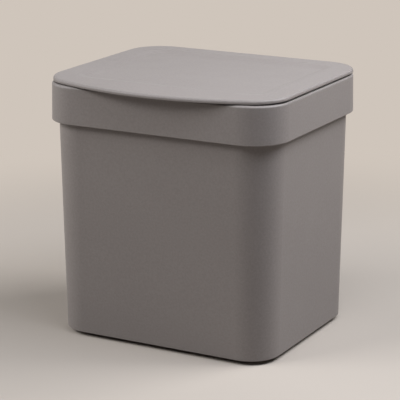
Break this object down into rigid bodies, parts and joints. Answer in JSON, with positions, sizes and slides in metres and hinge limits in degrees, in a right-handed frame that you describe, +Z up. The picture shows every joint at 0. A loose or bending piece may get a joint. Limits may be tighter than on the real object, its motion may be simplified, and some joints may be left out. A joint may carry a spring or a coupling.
{
  "type": "countertop waste bin",
  "caption": "Countertop waste bin: a rounded, slightly tapered bucket, a lift-off collar that hides the bag's edge, and a flat hinged lid with a bowed front lip to lift it by.",
  "frame": {"origin": "on the counter, under the middle of the bucket", "axes": "+Z up, -Y to the front where the lid is lifted, +X to the right as seen from the front"},
  "size_m": [0.201, 0.185, 0.2062],
  "materials": {
    "moulded_plastic": "moulded polypropylene in warm grey, with a fine matt texture",
    "soft_rubber": "matt dark grey rubber",
    "pin_steel": "drawn stainless steel rod"
  },
  "bodies": {
    "bucket": {"bucket": "moulded_plastic", "foot_front_left": "soft_rubber", "foot_front_right": "soft_rubber", "foot_rear_left": "soft_rubber", "foot_rear_right": "soft_rubber"},
    "collar": {"collar": "moulded_plastic", "hinge_pin_left": "pin_steel", "hinge_pin_right": "pin_steel"},
    "lid": {"lid": "moulded_plastic", "lid_buffer_front_left": "soft_rubber", "lid_buffer_front_right": "soft_rubber", "lid_buffer_rear_left": "soft_rubber", "lid_buffer_rear_right": "soft_rubber"}
  },
  "joints": [
    {"name": "collar_lift", "type": "slide", "parent": "bucket", "child": "collar", "axis": [0, 0, 1], "range_m": [0, 0.06]},
    {"name": "lid_hinge", "type": "hinge", "parent": "collar", "child": "lid", "pos_m": [0, 0.08835, 0.197], "axis": [-1, 0, 0], "range_deg": [0, 105]}
  ]
}
